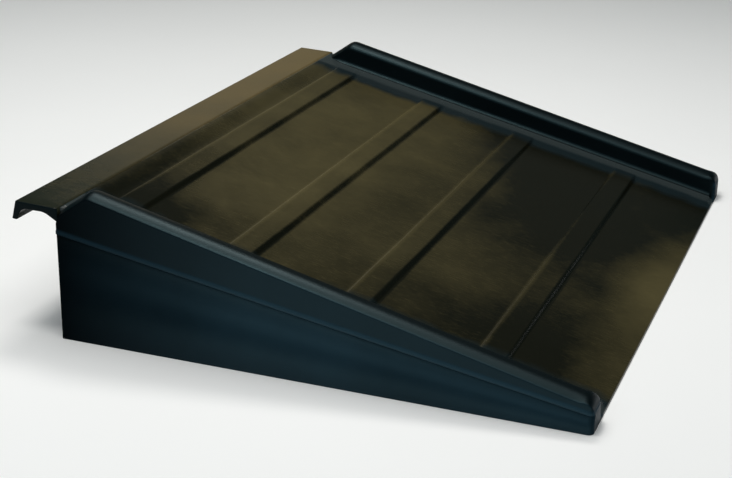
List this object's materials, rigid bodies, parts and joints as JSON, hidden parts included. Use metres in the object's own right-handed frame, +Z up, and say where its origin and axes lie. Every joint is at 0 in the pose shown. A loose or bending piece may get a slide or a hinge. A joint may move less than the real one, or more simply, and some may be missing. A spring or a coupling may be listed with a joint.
{
  "type": "hook-on loading ramp",
  "caption": "Low wedge ramp with a ribbed deck between two curbs and a lip along its high end that hooks over a platform's edge.",
  "frame": {"origin": "on the floor, under the middle of the whole ramp in length and width", "axes": "+X runs down the ramp from the lip to the toe, +Y is to the right of a person facing up the ramp, +Z is up"},
  "size_m": [0.6872, 0.838, 0.1819],
  "materials": {
    "shell": "glossy black, lightly textured",
    "webs": "matte black",
    "rubber": "matt black",
    "screws": "zinc plated"
  },
  "bodies": {
    "root": {"deck_panel": "shell", "hook_lip": "shell", "left_curb_rail": "shell", "right_curb_rail": "shell", "left_side_panel": "shell", "right_side_panel": "shell", "high_end_panel": "shell", "toe_bar": "webs", "left_stringer": "webs", "centre_stringer": "webs", "right_stringer": "webs", "cross_bearer_1": "webs", "cross_bearer_2": "webs", "cross_bearer_3": "webs", "cross_bearer_4": "webs", "left_corner_cleat": "webs", "right_corner_cleat": "webs", "hook_screws": "screws", "curb_screws": "screws", "cleat_screws": "screws", "left_foot_strip": "rubber", "right_foot_strip": "rubber", "high_end_foot_strip": "rubber", "stringer_foot_strips": "rubber"}
  },
  "joints": []
}
